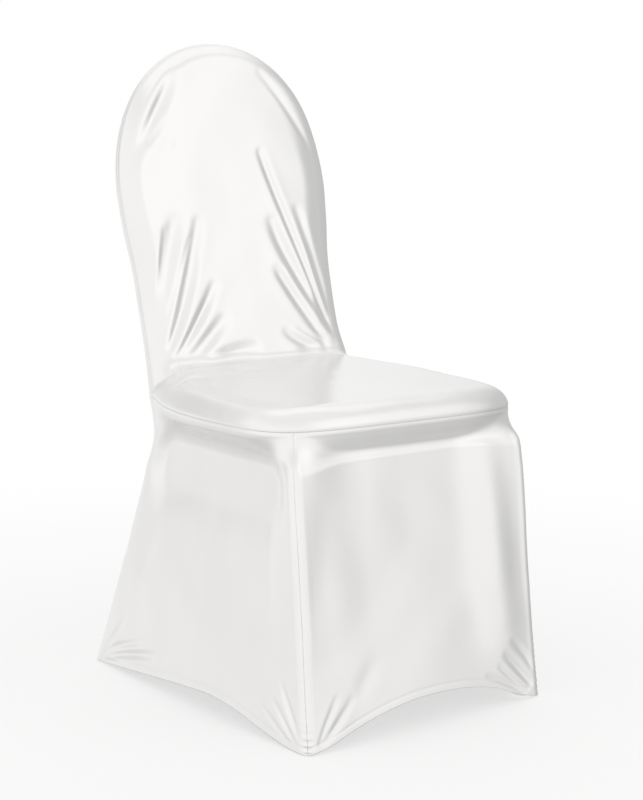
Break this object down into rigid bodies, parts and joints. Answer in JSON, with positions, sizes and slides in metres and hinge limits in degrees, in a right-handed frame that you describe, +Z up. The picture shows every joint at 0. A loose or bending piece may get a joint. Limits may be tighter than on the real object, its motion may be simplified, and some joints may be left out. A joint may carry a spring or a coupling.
{
  "type": "fitted stretch chair cover",
  "caption": "Fitted stretch cover for a round-backed banquet chair, hollow, with an arched hem and foot pockets.",
  "frame": {"origin": "on the floor under the middle of the cover's box, width and depth", "axes": "+Z up, -Y towards the front of the seat, +X to the right hand of someone who looks at the front of the chair"},
  "size_m": [0.463, 0.5529, 0.9457],
  "materials": {
    "stretch_cloth": "white stretch knit with a soft sheen",
    "pocket_cloth": "matt white reinforced knit"
  },
  "bodies": {
    "root": {"front_panel": "stretch_cloth", "rear_panel": "stretch_cloth", "side_skirt_left": "stretch_cloth", "side_skirt_right": "stretch_cloth", "front_skirt": "stretch_cloth", "foot_pocket_front_left": "pocket_cloth", "foot_pocket_front_right": "pocket_cloth", "foot_pocket_rear_left": "pocket_cloth", "foot_pocket_rear_right": "pocket_cloth"}
  },
  "joints": []
}
